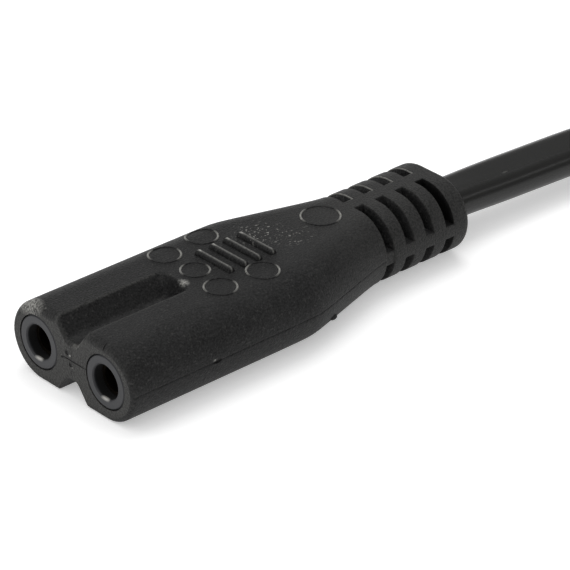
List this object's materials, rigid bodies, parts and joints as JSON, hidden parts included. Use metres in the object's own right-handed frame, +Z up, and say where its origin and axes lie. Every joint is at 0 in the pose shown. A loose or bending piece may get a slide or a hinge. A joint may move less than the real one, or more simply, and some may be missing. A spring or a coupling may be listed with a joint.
{
  "type": "figure eight power connector",
  "caption": "Black moulded figure eight appliance connector with grooved nose, grip bars and slotted strain relief, on a flat mains cord tied in a hank that ends in a slim round-pin plug.",
  "frame": {"origin": "middle of the connector's underside, on the floor that the connector lies on", "axes": "+X from the mating face towards the cord, +Y across the contacts, +Z up with the grip bars on top"},
  "size_m": [0.227, 0.037, 0.02],
  "materials": {
    "overmould": "soft moulded PVC, fine matte texture",
    "carrier": "hard moulded plastic, slightly smoother",
    "contact": "rolled brass sheet",
    "core_brown": "extruded insulation",
    "core_blue": "extruded insulation",
    "copper": "bare stranded copper",
    "jacket": "extruded PVC, satin",
    "strap": "woven strap",
    "plug_moulding": "soft moulded PVC, fine matte texture",
    "bridge": "hard moulded plastic",
    "pin_metal": "nickel plated, turned",
    "pin_insulation": "hard moulded plastic"
  },
  "bodies": {
    "root": {"connector_overmould": "overmould", "contact_carrier": "carrier", "contact_left": "contact", "contact_right": "contact", "core_insulation_left": "core_brown", "core_insulation_right": "core_blue", "conductor_left": "copper", "conductor_right": "copper", "cord_lead": "jacket", "cord_hank": "jacket", "cord_tie": "strap", "cord_tail": "jacket", "plug_body": "plug_moulding", "plug_bridge": "bridge", "pin_left": "pin_metal", "pin_right": "pin_metal", "pin_sleeve_left": "pin_insulation", "pin_sleeve_right": "pin_insulation", "plug_core_left": "core_brown", "plug_core_right": "core_blue", "plug_conductor_left": "copper", "plug_conductor_right": "copper"}
  },
  "joints": []
}
